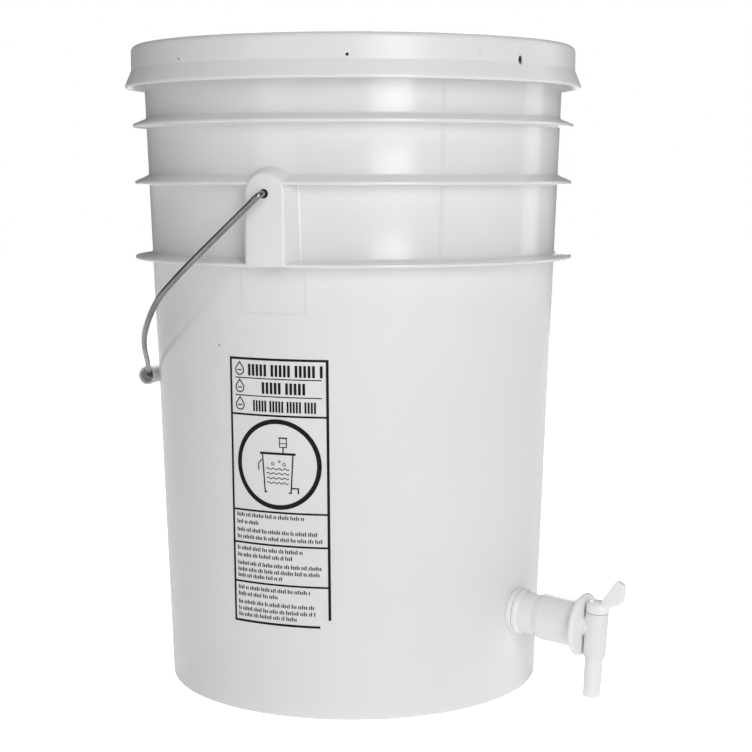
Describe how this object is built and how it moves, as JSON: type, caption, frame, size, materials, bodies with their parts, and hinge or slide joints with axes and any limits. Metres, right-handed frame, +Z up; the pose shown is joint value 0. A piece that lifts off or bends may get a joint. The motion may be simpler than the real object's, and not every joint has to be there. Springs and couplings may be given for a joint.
{
  "type": "fermenting bucket",
  "caption": "Tall tapered plastic fermenting pail with hoop ribs, a skirted lid with an airlock grommet, a wire bail with a roller grip, and a bottling tap near the base.",
  "frame": {"origin": "centre of the pail's base, on the floor it stands on", "axes": "+Z up along the pail's axis, the two bail ears on -X and +X so the bail hinge lies along X, the tap at the front (-Y) and the bail hanging at the back (+Y)"},
  "size_m": [0.3292, 0.3706, 0.447],
  "materials": {
    "pail_plastic": "satin translucent white high-density polyethylene",
    "lid_plastic": "satin white polyethylene, slightly cooler than the pail",
    "gasket_rubber": "soft grey sealing ring",
    "grommet_rubber": "matt black rubber",
    "zinc_wire": "bright zinc-plated drawn wire",
    "grip_plastic": "satin white moulded plastic",
    "tap_plastic": "translucent off-white polypropylene",
    "tap_plug_plastic": "white polypropylene",
    "washer_rubber": "pale rubber",
    "inner_washer_rubber": "pale rubber",
    "nut_plastic": "white polypropylene"
  },
  "bodies": {
    "pail": {"bucket_body": "pail_plastic", "spigot_body": "tap_plastic", "spigot_outer_washer": "washer_rubber", "spigot_inner_washer": "inner_washer_rubber", "spigot_nut": "nut_plastic"},
    "lid": {"lid": "lid_plastic", "lid_gasket": "gasket_rubber", "lid_grommet": "grommet_rubber"},
    "bail": {"bail_wire": "zinc_wire"},
    "grip": {"bail_grip": "grip_plastic"},
    "tap": {"spigot_plug": "tap_plug_plastic"}
  },
  "joints": [
    {"name": "bail_swing", "type": "hinge", "parent": "pail", "child": "bail", "pos_m": [0, 0, 0.3468], "axis": [1, 0, 0], "range_deg": [0, 264]},
    {"name": "grip_spin", "type": "hinge", "parent": "bail", "child": "grip", "pos_m": [0, 0.14598, 0.21303], "axis": [1, 0, 0], "continuous": true},
    {"name": "lid_lift", "type": "slide", "parent": "pail", "child": "lid", "axis": [0, 0, 1], "range_m": [0, 0.1]},
    {"name": "tap_turn", "type": "hinge", "parent": "pail", "child": "tap", "pos_m": [-0.03798, -0.19007, 0.05582], "axis": [-0.012, -0.0599, 0.9981], "range_deg": [-90, 90]}
  ]
}
